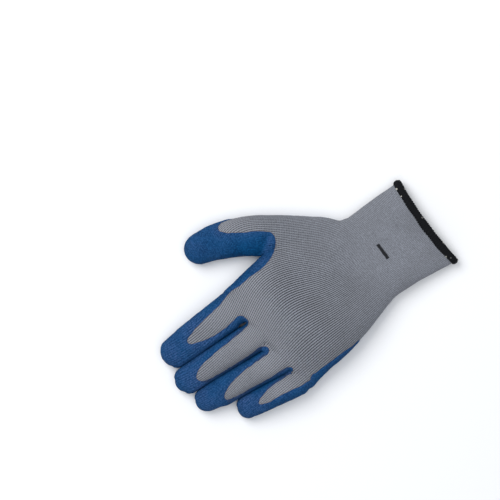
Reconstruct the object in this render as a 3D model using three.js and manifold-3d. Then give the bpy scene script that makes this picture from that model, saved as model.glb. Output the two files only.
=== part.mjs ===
// A knitted work glove for the left hand, dipped in crinkled latex, lying palm down.
// Millimetres. X points to the thumb's side, Y to the fingertips, Z up from the surface.
// The knitted liner is a hollow wall, worked as tubes: a cuff, a palm and five closed stalls.
// A latex film wraps the palm, the fingertips and the sides of the stalls, and leaves the
// back of the hand bare. An overlocked hem binds the cuff's edge.
import * as THREE from "three";
import { mergeVertices } from "three/addons/utils/BufferGeometryUtils.js";
import Module from "manifold-3d";

const wasm = await Module();
wasm.setup();

// Walls and clearances
const KNIT_WALL = 1.6;
const LATEX_FILM = 1.0;
const FILM_GAP = 0.3; // between the knit and the latex that grips it
const STALL_GAP = 0.3; // between two tubes of the liner
const HEM_THREAD = 1.0; // thickness of the overlock thread round the cuff's edge
const HEM_WIDTH = 5.2;
const HEM_GAP = 0.3;

// The cuff and the hand, measured over the knit
const CUFF_LENGTH = 52;
const CUFF_WIDTH = 81;
const CUFF_HEIGHT = 14.5;
const HEM_BOW = 3; // how far the hem's middle lies back from its two ends
const WRIST_WIDTH = 75;
const WRIST_HEIGHT = 20;
const HEM_SHIFT = 1; // how far the hem's and the wrist's middles lie to the thumb's side
const WRIST_SHIFT = 4.4;
const HAND_LENGTH = 116; // wrist to the webs between the fingers
const LITTLE_EDGE = 52; // from the hand's middle line to the palm's edge on that side
const THUMB_EDGE = 58;
const PALM_HEIGHT = 29;
const WEB_SLOPE = 0.1; // the webs fall back towards the little finger
const PRESSED = 0.8; // depth of the underside that lies pressed flat on the surface

// Fingers and thumb, measured over the latex. length: from the line of the webs to the tip.
const FINGERS = {
  index: { width: 30.4, length: 71.5, lean: -0.4 },
  middle: { width: 26.4, length: 78.5, lean: 3.5 },
  ring: { width: 25, length: 77.5, lean: 7 },
  little: { width: 22.8, length: 56, lean: 9.5 },
};
const FINGER_HEIGHT = 20.5;
const FINGER_ROOT = 26; // length of a finger's tube that lies inside the palm
const THUMB_WIDTH = 30;
const THUMB_HEIGHT = 21;
const THUMB_TIP = 15; // length of the thumb's rounded end

// Facets
const HAND_SIDES = 24;
const STALL_SIDES = 12;
const TIP_RINGS = 4;
const OUTLINE_STEPS = 2;

const FILM = LATEX_FILM + FILM_GAP; // how far the latex stands out from the knit
const WEB_LINE = CUFF_LENGTH + HAND_LENGTH;

// Cuff sections from hem to wrist. along: share of CUFF_LENGTH; flare: share of the way from
// the wrist's size to the hem's.
const CUFF_SECTIONS = [
  { along: 0.0, flare: 1.0 },
  { along: 0.14, flare: 0.88 },
  { along: 0.4, flare: 0.55 },
  { along: 0.7, flare: 0.18 },
  { along: 1.0, flare: 0.0 },
];

// Hand sections from wrist to webs. along: share of HAND_LENGTH; little and thumb: shares of
// the way from the wrist's edges to the palm's; rise: share of the way from the wrist's height
// to the palm's.
const HAND_SECTIONS = [
  { along: 0.05, little: 0.0, thumb: 0.12, rise: 0.06 },
  { along: 0.12, little: 0.09, thumb: 0.36, rise: 0.2 },
  { along: 0.2, little: 0.23, thumb: 0.6, rise: 0.4 },
  { along: 0.29, little: 0.37, thumb: 0.82, rise: 0.62 },
  { along: 0.39, little: 0.52, thumb: 0.95, rise: 0.8 },
  { along: 0.5, little: 0.65, thumb: 1.0, rise: 0.95 },
  { along: 0.63, little: 0.75, thumb: 1.0, rise: 1.0 },
  { along: 0.76, little: 0.8, thumb: 0.9, rise: 0.9 },
  { along: 0.86, little: 0.87, thumb: 0.81, rise: 0.62 },
  { along: 0.93, little: 0.97, thumb: 0.75, rise: 0.34 },
];

// Where each finger's middle line starts inside the palm, and where it passes the webs, as
// shares of the palm's edge on that side; lift: share of FINGER_HEIGHT that its back stands
// above the common height.
const FINGER_PLACES = {
  index: { root: 0.62, web: 0.67, lift: 0.05 },
  middle: { root: 0.13, web: 0.162, lift: 0.03 },
  ring: { root: -0.34, web: -0.332, lift: 0.0 },
  little: { root: -0.72, web: -0.804, lift: -0.06 },
};

// Sections of a finger from its web to where the rounded tip begins. along: share of its
// length; wide: share of its width; back and under: heights of its back and underside, as
// shares of FINGER_HEIGHT.
const FINGER_SECTIONS = [
  { along: 0.0, wide: 1.0, back: 1.16, under: 0.02 },
  { along: 0.22, wide: 0.965, back: 1.12, under: 0.08 },
  { along: 0.45, wide: 0.92, back: 1.06, under: 0.08 },
  { along: 0.67, wide: 0.885, back: 0.95, under: 0.02 },
  { along: 0.84, wide: 0.82, back: 0.82, under: -0.04 },
];
const ROOT_SECTION = { wide: 0.8, back: 1.2, under: 0.1 };

// The thumb's middle line and size. across and along: shares of THUMB_EDGE and of WEB_LINE;
// wide: share of THUMB_WIDTH; back and under: shares of THUMB_HEIGHT.
const THUMB_SECTIONS = [
  { across: 0.52, along: 0.37, wide: 0.9, back: 0.9, under: 0.12 },
  { across: 0.67, along: 0.446, wide: 1.18, back: 1.05, under: 0.0 },
  { across: 0.836, along: 0.514, wide: 1.2, back: 1.1, under: -0.04 },
  { across: 1.184, along: 0.66, wide: 1.18, back: 1.08, under: -0.02 },
  { across: 1.465, along: 0.812, wide: 1.08, back: 1.02, under: 0.0 },
  { across: 1.56, along: 0.893, wide: 1.0, back: 0.96, under: -0.02 },
  { across: 1.62, along: 0.97, wide: 0.9, back: 0.86, under: -0.04 },
];
const CROTCH = { across: 1.27, along: 0.705 }; // where the thumb's tube leaves the palm's

// The latex ends on the back of the hand along an outline. across: share of the palm's edge on
// that side; along: share of WEB_LINE.
const LITTLE_SIDE_OUTLINE = [
  { across: -0.82, along: 0.577 },
  { across: -0.84, along: 0.68 },
  { across: -0.835, along: 0.83 },
  { across: -0.815, along: 0.96 },
];
const THUMB_SIDE_OUTLINE = [
  { across: 0.865, along: 0.98 },
  { across: 0.87, along: 0.9 },
  { across: 0.875, along: 0.79 },
  { across: 0.93, along: 0.71 },
  { across: 1.04, along: 0.66 },
  { across: 1.17, along: 0.647 },
  { across: 1.3, along: 0.685 },
  { across: 1.45, along: 0.762 },
  { across: 1.6, along: 0.834 },
  { across: 1.69, along: 0.846 },
  { across: 1.74, along: 0.79 },
];
// Under the hand it ends near the wrist, along this line.
const WRIST_OUTLINE = [
  { across: 1.4, along: 0.375 },
  { across: 0.8, along: 0.36 },
  { across: 0.4, along: 0.285 },
  { across: 0.0, along: 0.257 },
  { across: -0.38, along: 0.297 },
  { across: -0.66, along: 0.39 },
  { across: -0.82, along: 0.51 },
  { across: -0.9, along: 0.577 },
];
const OUTLINE_LEVEL = 0.4; // height of the latex's edge on the thumb's side, of PALM_HEIGHT

// The bare strip on each finger's back. length: share of the finger's; wide and shift: shares
// of its width, shift towards the thumb.
const BARE_STRIPS = {
  index: { length: 0.64, wide: 0.56, shift: 0.0 },
  middle: { length: 0.765, wide: 0.74, shift: -0.06 },
  ring: { length: 0.7, wide: 0.71, shift: -0.1 },
  little: { length: 0.64, wide: 0.5, shift: 0.1 },
};

const mix = (a, b, share) => a + (b - a) * share;

// The rows of a table at any place along it, worked out between its two neighbours.
function rowAt(rows, along) {
  const i = Math.min(Math.max(rows.findIndex((row) => row.along >= along), 1), rows.length - 1);
  const before = rows[i - 1];
  const after = rows[i];
  const share = (along - before.along) / (after.along - before.along);
  return Object.fromEntries(
    Object.keys(before).map((name) => [name, mix(before[name], after[name], share)]),
  );
}

// One ring of a tube. It stands across the heading, which points along the tube, and is a
// rounded oblong between the heights under and back. out moves its wall outwards by that
// much, or inwards where it is negative. What would lie below the surface is pressed flat.
const ROUND_BACK = 2.25;
const ROUND_UNDER = 2.9;
const WIDEST = 0.46; // height of the widest place, as a share of the section's
function ring({ x, y, heading, half, back, under, out, sides, skew }) {
  const middle = mix(under, back, WIDEST);
  const points = [];
  for (let k = 0; k < sides; k++) {
    const angle = (2 * Math.PI * k) / sides;
    const above = Math.sin(angle) >= 0;
    const bend = (v) => Math.sign(v) * Math.abs(v) ** (2 / (above ? ROUND_BACK : ROUND_UNDER));
    const across = (half + out) * bend(Math.cos(angle));
    const reach = above ? back - middle : middle - under;
    const z = middle + (reach + out) * bend(Math.sin(angle));
    const px = x + across * heading.y;
    const py = y - across * heading.x + (skew ? skew(px) : 0);
    points.push(new THREE.Vector3(px, py, Math.max(z, FILM - out)));
  }
  return points;
}

// A closed three.js geometry as a solid that can be cut and joined.
function solid(geometry) {
  const bare = geometry.clone();
  bare.deleteAttribute("normal");
  bare.deleteAttribute("uv");
  const merged = mergeVertices(bare, 1e-4);
  const mesh = new wasm.Mesh({
    numProp: 3,
    vertProperties: new Float32Array(merged.getAttribute("position").array),
    triVerts: new Uint32Array(merged.index.array),
  });
  return new wasm.Manifold(mesh);
}

// A closed solid through a list of rings, with a fan of facets over its first and last ring.
function loft(rings) {
  const sides = rings[0].length;
  const last = (rings.length - 1) * sides;
  const startPole = rings.length * sides;
  const endPole = startPole + 1;
  const centre = (points) =>
    points.reduce((sum, p) => sum.add(p), new THREE.Vector3()).divideScalar(sides);
  const vertices = [...rings.flat(), centre(rings[0]), centre(rings.at(-1))];
  const index = [];
  for (let k = 0; k < sides; k++) {
    const next = (k + 1) % sides;
    for (let i = 0; i < last; i += sides) {
      index.push(i + k, i + sides + k, i + sides + next, i + k, i + sides + next, i + next);
    }
    index.push(startPole, k, next, endPole, last + next, last + k);
  }
  const geometry = new THREE.BufferGeometry().setFromPoints(vertices);
  geometry.setIndex(index);
  return solid(geometry);
}

// The rounded end of a stall: rings that shrink from its last section to a blunt point. The
// point lies lower than the section's middle.
const TIP_TURN = 0.47 * Math.PI;
const TIP_LEVEL = 0.4;
function tipRings(section, length) {
  const { half, back, under, out, heading } = section;
  const middle = mix(under, back, WIDEST);
  const rings = [];
  for (let k = 1; k <= TIP_RINGS; k++) {
    const turn = (k / TIP_RINGS) * TIP_TURN;
    const forward = (length + out) * Math.sin(turn);
    const shrink = Math.cos(turn);
    const level = mix(middle, (back + under) * TIP_LEVEL, 1 - shrink);
    const shrunk = {
      x: section.x + forward * heading.x,
      y: section.y + forward * heading.y,
      half: (half + out) * shrink - out,
      back: level + (back + out - middle) * shrink - out,
      under: level - (middle - under + out) * shrink + out,
    };
    rings.push(ring({ ...section, ...shrunk }));
  }
  return rings;
}

// The cuff's section at a place along it. The hem's middle lies back from its ends.
function cuffRing(y, out) {
  const along = y / CUFF_LENGTH;
  const { flare } = rowAt(CUFF_SECTIONS, along);
  const bow = Math.max(0, 1 - 2 * along) * HEM_BOW;
  return ring({
    x: mix(WRIST_SHIFT, HEM_SHIFT, flare),
    y,
    heading: new THREE.Vector2(0, 1),
    half: mix(WRIST_WIDTH, CUFF_WIDTH, flare) / 2,
    back: FILM + mix(WRIST_HEIGHT, CUFF_HEIGHT, flare),
    under: FILM - PRESSED,
    out,
    sides: HAND_SIDES,
    skew: (x) => bow * (1 - ((2 * x) / CUFF_WIDTH) ** 2),
  });
}

// The palm's section at a place along the hand, in its place, heights and edges.
function palmSection(along) {
  const { little, thumb, rise } = rowAt(HAND_SECTIONS, along);
  const half = WRIST_WIDTH / 2;
  const edges = [
    mix(WRIST_SHIFT - half, -LITTLE_EDGE, little),
    mix(WRIST_SHIFT + half, THUMB_EDGE, thumb),
  ];
  return {
    x: (edges[0] + edges[1]) / 2,
    y: CUFF_LENGTH + along * HAND_LENGTH,
    heading: new THREE.Vector2(0, 1),
    half: (edges[1] - edges[0]) / 2,
    back: FILM + mix(WRIST_HEIGHT, PALM_HEIGHT, rise),
    under: FILM - PRESSED,
    sides: HAND_SIDES,
    skew: (x) => along ** 3 * WEB_SLOPE * x,
  };
}

// The cuff and palm as one tube, which rounds off at the webs. longer carries its open end on
// past the hem.
const FRONT_TURNS = [0.6, 1.1, 1.45];
const FRONT_FLATTEST = 0.3;
const FRONT_CORNER = 0.4;
function handForm(out, longer) {
  const rings = CUFF_SECTIONS.map(({ along }) => cuffRing(along * CUFF_LENGTH, out));
  if (longer > 0) rings.unshift(cuffRing(0, out).map((p) => p.setY(p.y - longer)));
  for (const { along } of HAND_SECTIONS) rings.push(ring({ ...palmSection(along), out }));
  const last = palmSection(HAND_SECTIONS.at(-1).along);
  const middle = mix(last.under, last.back, WIDEST);
  const front = WEB_LINE - FILM - last.y + out;
  for (const turn of FRONT_TURNS) {
    const flat = mix(FRONT_FLATTEST, 1, Math.cos(turn));
    const section = {
      y: last.y + front * Math.sin(turn),
      half: last.half - front * (1 - Math.cos(turn)) * FRONT_CORNER,
      back: mix(middle, last.back, flat),
      under: mix(middle, last.under, flat),
    };
    rings.push(ring({ ...last, ...section, out }));
  }
  return loft(rings);
}

// Places on the hand: across as a share of the palm's edge on that side, along of WEB_LINE.
const place = ({ across, along }) =>
  new THREE.Vector2(across * (across > 0 ? THUMB_EDGE : LITTLE_EDGE), along * WEB_LINE);

// A finger's middle line: from its root in the palm to the webs, then straight to the tip.
function fingerLine(name) {
  const { root, web } = FINGER_PLACES[name];
  const lean = THREE.MathUtils.degToRad(FINGERS[name].lean);
  const webPoint = place({ across: web, along: 1 });
  webPoint.y += WEB_SLOPE * webPoint.x;
  const rootPoint = place({ across: root, along: 1 });
  rootPoint.y = webPoint.y - FINGER_ROOT;
  return { rootPoint, webPoint, heading: new THREE.Vector2(Math.sin(lean), Math.cos(lean)) };
}

function fingerForm(name, out) {
  const { width, length } = FINGERS[name];
  const { rootPoint, webPoint, heading } = fingerLine(name);
  const section = (point, { wide, back, under }) => ({
    x: point.x,
    y: point.y,
    heading,
    half: (width * wide) / 2 - FILM,
    back: FINGER_HEIGHT * (back + FINGER_PLACES[name].lift) - FILM,
    under: FINGER_HEIGHT * under + FILM,
    out,
    sides: STALL_SIDES,
  });
  const sections = FINGER_SECTIONS.map((row) =>
    section(webPoint.clone().addScaledVector(heading, row.along * length), row),
  );
  const tip = (1 - FINGER_SECTIONS.at(-1).along) * length - FILM;
  const root = section(rootPoint, ROOT_SECTION);
  return loft([...[root, ...sections].map(ring), ...tipRings(sections.at(-1), tip)]);
}

function thumbForm(out) {
  const line = THUMB_SECTIONS.map(place);
  const sections = THUMB_SECTIONS.map(({ wide, back, under }, i) => {
    const before = line[Math.max(i - 1, 0)];
    const after = line[Math.min(i + 1, line.length - 1)];
    return {
      x: line[i].x,
      y: line[i].y,
      heading: after.clone().sub(before).normalize(),
      half: (THUMB_WIDTH * wide) / 2 - FILM,
      back: THUMB_HEIGHT * back - FILM,
      under: THUMB_HEIGHT * under + FILM,
      out,
      sides: STALL_SIDES,
    };
  });
  return loft([...sections.map(ring), ...tipRings(sections.at(-1), THUMB_TIP - FILM)]);
}

// The whole glove's outer form, moved outwards by out.
function gloveForm(out, longer = 0) {
  return Object.keys(FINGERS).reduce(
    (form, name) => form.add(fingerForm(name, out)),
    handForm(out, longer).add(thumbForm(out)),
  );
}

// All that lies beyond a point in a heading, less a clearance.
const FAR = 400;
function beyond(point, heading, clearance) {
  const box = new THREE.BoxGeometry(2 * FAR, FAR, FAR).translate(0, FAR / 2 + clearance, 0);
  box.rotateZ(-Math.atan2(heading.x, heading.y));
  return solid(box.translate(point.x, point.y, 0));
}

// All that lies over an outline, from a level upwards.
function prism(shape, level) {
  const options = { depth: FAR, bevelEnabled: false, curveSegments: OUTLINE_STEPS };
  return solid(new THREE.ExtrudeGeometry(shape, options).translate(0, 0, level));
}

// Liner: the hand's tubes part across the wrist, at the webs and at the thumb's crotch.
const forward = new THREE.Vector2(0, 1);
const webHeading = new THREE.Vector2(-WEB_SLOPE, 1).normalize();
const crotch = place(CROTCH);
const thumbHeading = place(THUMB_SECTIONS[4]).sub(place(THUMB_SECTIONS[3])).normalize();
const wrist = new THREE.Vector2(0, CUFF_LENGTH);
const webs = new THREE.Vector2(0, WEB_LINE);
const near = -STALL_GAP / 2;
const past = STALL_GAP / 2;

const liner = gloveForm(0).subtract(gloveForm(-KNIT_WALL, HEM_WIDTH));
const palm = liner
  .intersect(beyond(wrist, forward, past))
  .subtract(beyond(webs, webHeading, near))
  .subtract(thumbForm(STALL_GAP).intersect(beyond(crotch, thumbHeading, near)));
const cuff = liner.subtract(beyond(wrist, forward, near));
const thumbStall = thumbForm(0)
  .subtract(thumbForm(-KNIT_WALL))
  .intersect(beyond(crotch, thumbHeading, past));
const fingerStall = (name) =>
  fingerForm(name, 0)
    .subtract(fingerForm(name, -KNIT_WALL))
    .intersect(beyond(webs, webHeading, past));

// Latex: a film round the whole glove, cut open over the back and behind the wrist.
function backOpening() {
  const shape = new THREE.Shape();
  const littleSide = LITTLE_SIDE_OUTLINE.map(place);
  const thumbSide = THUMB_SIDE_OUTLINE.map(place);
  shape.moveTo(littleSide[0].x, littleSide[0].y);
  shape.splineThru(littleSide.slice(1));
  shape.lineTo(thumbSide[0].x, thumbSide[0].y);
  shape.splineThru(thumbSide.slice(1));
  shape.lineTo(FAR / 2, thumbSide.at(-1).y);
  shape.lineTo(FAR / 2, 0);
  shape.lineTo(-FAR / 2, 0);
  shape.lineTo(-FAR / 2, littleSide[0].y);
  return prism(shape, OUTLINE_LEVEL * PALM_HEIGHT);
}
function stripOpening(name) {
  const { width, length } = FINGERS[name];
  const strip = BARE_STRIPS[name];
  const { webPoint: web, heading } = fingerLine(name);
  const half = (width * strip.wide) / 2;
  const shape = new THREE.Shape();
  shape.moveTo(-half, -FINGER_ROOT / 2);
  shape.lineTo(half, -FINGER_ROOT / 2);
  shape.lineTo(half, strip.length * length - half * 1.6);
  shape.bezierCurveTo(
    half, strip.length * length - half * 0.3,
    half * 0.6, strip.length * length,
    0, strip.length * length,
  );
  shape.bezierCurveTo(
    -half * 0.6, strip.length * length,
    -half, strip.length * length - half * 0.3,
    -half, strip.length * length - half * 1.6,
  );
  return prism(shape, OUTLINE_LEVEL * PALM_HEIGHT)
    .translate(strip.shift * width, 0, 0)
    .rotate(0, 0, -FINGERS[name].lean)
    .translate(web.x, web.y, 0);
}
function wristOpening() {
  const line = WRIST_OUTLINE.map(place);
  const shape = new THREE.Shape();
  shape.moveTo(line[0].x, line[0].y);
  shape.splineThru(line.slice(1));
  shape.lineTo(-FAR / 2, line.at(-1).y);
  shape.lineTo(-FAR / 2, -FAR / 2);
  shape.lineTo(FAR / 2, -FAR / 2);
  shape.lineTo(FAR / 2, line[0].y);
  return prism(shape, -FAR / 2);
}
const latex = Object.keys(FINGERS).reduce(
  (film, name) => film.subtract(stripOpening(name)),
  gloveForm(FILM)
    .subtract(gloveForm(FILM_GAP))
    .subtract(backOpening())
    .subtract(wristOpening()),
);

// Hem: thread wrapped over the cuff's edge, outside, across the end and inside.
function cuffForm(out, from, to) {
  const first = cuffRing(0, out).map((p) => p.setY(p.y + from));
  const rows = CUFF_SECTIONS.map((row) => row.along * CUFF_LENGTH).filter((y) => y > 0 && y < to);
  return loft([first, ...[...rows, to].map((y) => cuffRing(y, out))]);
}
const outside = HEM_GAP + HEM_THREAD;
const inside = -KNIT_WALL - HEM_GAP;
const channel = cuffForm(HEM_GAP, -HEM_GAP, CUFF_LENGTH).subtract(
  cuffForm(inside, -HEM_GAP * 2, CUFF_LENGTH),
);
const hem = cuffForm(outside, -outside, HEM_WIDTH)
  .subtract(channel)
  .subtract(cuffForm(inside - HEM_THREAD, -outside * 2, CUFF_LENGTH));

// The parts, each a named mesh in its own colour
const glove = new THREE.Group();
const YARN = { color: 0x85888f, roughness: 0.95, metalness: 0 };
const LATEX = { color: 0x1b4f8c, roughness: 0.55, metalness: 0 };
const THREAD = { color: 0x17181b, roughness: 0.9, metalness: 0 };

function add(name, made, finish) {
  const { vertProperties, triVerts } = made.getMesh();
  const geometry = new THREE.BufferGeometry();
  geometry.setAttribute("position", new THREE.Float32BufferAttribute(vertProperties, 3));
  geometry.setIndex(new THREE.Uint32BufferAttribute(triVerts, 1));
  const mesh = new THREE.Mesh(geometry, new THREE.MeshStandardMaterial(finish));
  mesh.name = name;
  glove.add(mesh);
}
add("cuff_hem", hem, THREAD);
add("knit_cuff", cuff, YARN);
add("knit_palm", palm, YARN);
add("knit_thumb", thumbStall, YARN);
for (const name of Object.keys(FINGERS)) add(`knit_${name}_finger`, fingerStall(name), YARN);
add("latex_coating", latex, LATEX);

// The origin is the middle of the footprint, on the surface that the glove lies on.
const box = new THREE.Box3().setFromObject(glove);
const middle = box.getCenter(new THREE.Vector3());
glove.position.set(-middle.x, -middle.y, -box.min.z);
glove.updateMatrixWorld(true);

export default glove;
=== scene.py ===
# A left-hand knitted work glove dipped in crinkled latex, lying palm down: its visual model.
# The forms are worked out in millimetres on the hand's own axes, X to the thumb's side and Y to the
# fingertips, with Y = 0 at the hem, and put into the frame in metres.
import math
from functools import partial

import bmesh
import bpy
import numpy as np
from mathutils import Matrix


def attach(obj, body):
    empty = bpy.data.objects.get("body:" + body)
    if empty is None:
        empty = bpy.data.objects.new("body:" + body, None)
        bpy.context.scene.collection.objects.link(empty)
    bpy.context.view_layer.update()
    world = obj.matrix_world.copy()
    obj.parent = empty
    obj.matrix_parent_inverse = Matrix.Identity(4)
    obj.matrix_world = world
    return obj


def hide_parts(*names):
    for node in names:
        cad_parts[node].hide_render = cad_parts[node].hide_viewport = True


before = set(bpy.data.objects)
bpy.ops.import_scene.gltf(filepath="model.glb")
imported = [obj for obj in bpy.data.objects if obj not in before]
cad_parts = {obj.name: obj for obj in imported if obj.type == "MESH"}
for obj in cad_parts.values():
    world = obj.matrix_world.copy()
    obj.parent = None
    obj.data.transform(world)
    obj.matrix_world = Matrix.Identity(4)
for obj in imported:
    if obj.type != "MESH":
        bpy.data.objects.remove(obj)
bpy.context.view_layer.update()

MM = 0.001
HAND_ORIGIN = (-27.236, -122.825)  # where the hand's axes cross at the hem, in the frame

# Walls and clearances, as in the frame
KNIT_WALL = 1.6
LATEX_FILM = 1.0
FILM_GAP = 0.3
HEM_THREAD = 1.0
HEM_WIDTH = 5.2
HEM_GAP = 0.3
FILM = LATEX_FILM + FILM_GAP

# The cuff and the hand over the knit, as in the frame
CUFF_LENGTH = 52
CUFF_WIDTH = 81
CUFF_HEIGHT = 14.5
HEM_BOW = 3
WRIST_WIDTH = 75
WRIST_HEIGHT = 20
HEM_SHIFT = 1
WRIST_SHIFT = 4.4
HAND_LENGTH = 116
LITTLE_EDGE = 52
THUMB_EDGE = 58
PALM_HEIGHT = 29
WEB_SLOPE = 0.1
PRESSED = 0.8
FINGER_HEIGHT = 20.5
FINGER_ROOT = 26
THUMB_WIDTH = 30
THUMB_HEIGHT = 21
THUMB_TIP = 15
WEB_LINE = CUFF_LENGTH + HAND_LENGTH


def table(names, *rows):
    """A short table as named columns."""
    return dict(zip(names.split(), np.array(rows, float).T))


CUFF_SECTIONS = table(
    "along flare",
    (0.0, 1.0),
    (0.14, 0.88),
    (0.4, 0.55),
    (0.7, 0.18),
    (1.0, 0.0),
)
HAND_SECTIONS = table(
    "along little thumb rise",
    (0.0, 0.0, 0.03, 0.0),
    (0.05, 0.0, 0.12, 0.06),
    (0.12, 0.09, 0.36, 0.2),
    (0.2, 0.23, 0.6, 0.4),
    (0.29, 0.37, 0.82, 0.62),
    (0.39, 0.52, 0.95, 0.8),
    (0.5, 0.65, 1.0, 0.95),
    (0.63, 0.75, 1.0, 1.0),
    (0.76, 0.8, 0.9, 0.9),
    (0.86, 0.87, 0.81, 0.62),
    (0.93, 0.97, 0.75, 0.34),
)
FINGERS = {
    "index": dict(width=30.4, length=71.5, lean=-0.4, root=0.62, web=0.67, lift=0.05),
    "middle": dict(width=26.4, length=78.5, lean=3.5, root=0.13, web=0.162, lift=0.03),
    "ring": dict(width=25, length=77.5, lean=7, root=-0.34, web=-0.332, lift=0.0),
    "little": dict(width=22.8, length=56, lean=9.5, root=-0.72, web=-0.804, lift=-0.06),
}
FINGER_SECTIONS = table(
    "along wide back under",
    (0.0, 1.0, 1.16, 0.02),
    (0.22, 0.965, 1.12, 0.08),
    (0.45, 0.92, 1.06, 0.08),
    (0.67, 0.885, 0.95, 0.02),
    (0.84, 0.82, 0.82, -0.04),
)
ROOT_SECTION = dict(wide=0.8, back=1.2, under=0.1)
THUMB_SECTIONS = table(
    "across along wide back under",
    (0.52, 0.37, 0.9, 0.9, 0.12),
    (0.67, 0.446, 1.18, 1.05, 0.0),
    (0.836, 0.514, 1.2, 1.1, -0.04),
    (1.184, 0.66, 1.18, 1.08, -0.02),
    (1.465, 0.812, 1.08, 1.02, 0.0),
    (1.56, 0.893, 1.0, 0.96, -0.02),
    (1.62, 0.97, 0.9, 0.86, -0.04),
)

# A section is a rounded oblong: how square it is over the back and under, and how high its
# widest place lies, as a share of its height
ROUND_BACK = 2.25
ROUND_UNDER = 2.9
WIDEST = 0.46
SECTION_SIDES = 96
STEPS = 60
TIP_STEPS = 14
TIP_LEVEL = 0.4

# Where the latex ends on the back of the hand, in millimetres, round from the little finger's side
BACK_OUTLINE = (
    (-70, 96.5), (-47, 97), (-43.9, 103), (-43.8, 111), (-43.5, 124), (-43.3, 140), (-43.2, 158),
    (-42.6, 169), (-36.6, 168.6), (-33.9, 162.6), (-29.2, 161.0), (-17, 166.2), (-8, 167.8),
    (-4.0, 167.4), (1, 169), (10, 168.6), (26, 167.8), (38, 170), (46, 173), (49.2, 169),
    (50.4, 162), (50.4, 154), (51.3, 145), (50.7, 134), (51.9, 127), (54.3, 119.5), (58.7, 113.4),
    (64, 109.6), (68.6, 109), (72.4, 111.4), (77.6, 118), (83.2, 126.5), (88.3, 134.5), (92.7, 140),
    (96.2, 142.6), (98.9, 142), (100.3, 138.6), (101, 133), (106, 127), (130, 122),
)
# The bare strip on each finger's back is a long half oval: half its width, its length from the
# webs, how square its end is, and how far its middle lies to the thumb's side at its root,
# half-way and at its end
BARE_STRIPS = {
    "index": dict(half=8.7, length=45.2, square=2.1, root=0.9, middle=-0.9, end=-0.3),
    "middle": dict(half=10.2, length=60.2, square=4.0, root=0.7, middle=-2.6, end=-3.2),
    "ring": dict(half=9.0, length=53.6, square=4.6, root=0.4, middle=-2.5, end=-6.2),
    "little": dict(half=6.1, length=36.8, square=2.4, root=3.7, middle=2.6, end=-0.7),
}
# Under the hand it ends near the wrist
WRIST_OUTLINE = (
    (110, 61), (81, 62), (60, 61.5), (46, 58), (34, 52), (23, 47.5), (11, 44.2), (0, 43.2),
    (-10, 45.4), (-20, 50), (-28, 57.5), (-34, 66), (-39, 76), (-43, 87), (-49, 95), (-70, 97),
)
# How high the latex comes up the sides of the hand and the thumb, in millimetres, and how steep the
# fingers' sides are where it ends on them, as the upward part of the surface's normal
EDGE_LEVEL = 11.6
THUMB_EDGE_LEVEL = 7.0
FINGER_EDGE_TILT = 0.3
TILT_REACH = 8.0
WRIST_ROUND = 9.0  # radius that eases the edge's corner at the wrist
EDGE_WAVES = [(6.0, 0.42, 11), (2.6, 0.28, 12)]  # size, height and seed

# The slack of the knit and the crinkle of the latex: size, height and seed
SLACK = [(24, 0.55, 3), (9, 0.22, 4)]
CRINKLE = [(4.2, 0.16, 21), (2.1, 0.12, 22)]

# Soft creases: where the thumb's stall passes under the web, and where the fingers' tubes start
CREASES = [
    dict(line=[(71, 110), (67.2, 117), (62.8, 124), (58.3, 132)], depth=1.5, width=2.8),
    dict(line=[(38, 148.5), (27, 153.5), (18.5, 157.5), (4, 164)], depth=0.4, width=1.8),
]

# The knit across the foot of a gap, from a place to the end of the web: half as wide as given
WEBS = [
    dict(start=(-6.0, 150), end=(-4.6, 171.0), half=4.6, back=21.6),
    dict(start=(-33.5, 144), end=(-29.6, 167.0), half=4.4, back=16.8),
]

LATEX_RISE = 1.1  # how far the film stands over the knit, and how fast it gets there from its edge
EDGE_ROUND = 1.3

MOUTH_EDGE = 0.6  # how far the liner's edge lies behind the hem's outer edge

STRETCHED = (22, 132)  # where the knit is stretched most, and how far that reaches
STRETCH_REACH = 26

# The bar of ink on the cuff
INK_PLACE = (3.4, 45.4)
INK_HALF = (7.5, 1.6)

# Two fingers lie against each other from a place on, in millimetres from the hem
CONTACT = 0.08
PRESSED_FLAT = 0.4  # how much further than the gap the sides are pressed
TOUCHING = [("middle", "index", 174.5), ("ring", "middle", 168), ("little", "ring", 160)]

# How the wales of the knit lean towards the thumb, in degrees, at places on the back of the hand
WALE_LEANS = table(
    "x y lean",
    (20, 112, 16), (31, 127, 12), (40, 136, -2), (39, 144, -14), (34, 152, -34), (27, 159, -34),
    (23, 167, -26), (38, 168, -36), (38, 184, -24), (38, 200, -14), (25, 140, -6), (12, 133, 0),
    (23, 148, -18), (21, 156, -28), (5, 154, -12), (10, 166, -24), (-4, 164, -16), (-8, 148, -6),
    (-10, 134, -4), (16, 165, -26), (15, 174, -18), (16, 185, -14), (16, 197, -10), (9, 207, -14),
    (8, 224, -8), (-17, 201, -8), (-19, 218, -2), (-20, 179, -8), (-13, 166, -8), (-37, 184, 0),
    (-38, 168, 2), (35, 101, 32), (49, 98, 36), (51, 112, 22), (50, 90, 40), (93, 129, 26),
    (87, 120, 28), (97, 122, 30), (74, 93, 34), (64, 85, 36), (38, 104, 26), (-38, 110, -12),
    (-38, 140, -6), (-25, 90, -10), (0, 90, 2), (20, 90, 16), (35, 75, 22), (45, 70, 30), (-25, 70, -6),
    (5, 70, 4), (-28, 50, -2), (4, 50, 0), (36, 50, 4), (-34, 10, 0), (0, 10, 0), (36, 10, 0),
    (-34, 30, 0), (0, 30, 0), (36, 30, 0),
)
WALE_REACH = 26  # how far each of these places is felt, in millimetres
PITCH_WEIGHT = 0.8  # how much a pitch counts in the fit beside a lean
# The distance between two wales, from the cuff to the fingertips
WALE_PITCH = table("along pitch", (40, 1.2), (95, 1.5), (150, 1.55), (215, 1.7))
COURSE_SHARE = 1.2  # the courses are this much wider apart than the wales

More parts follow.
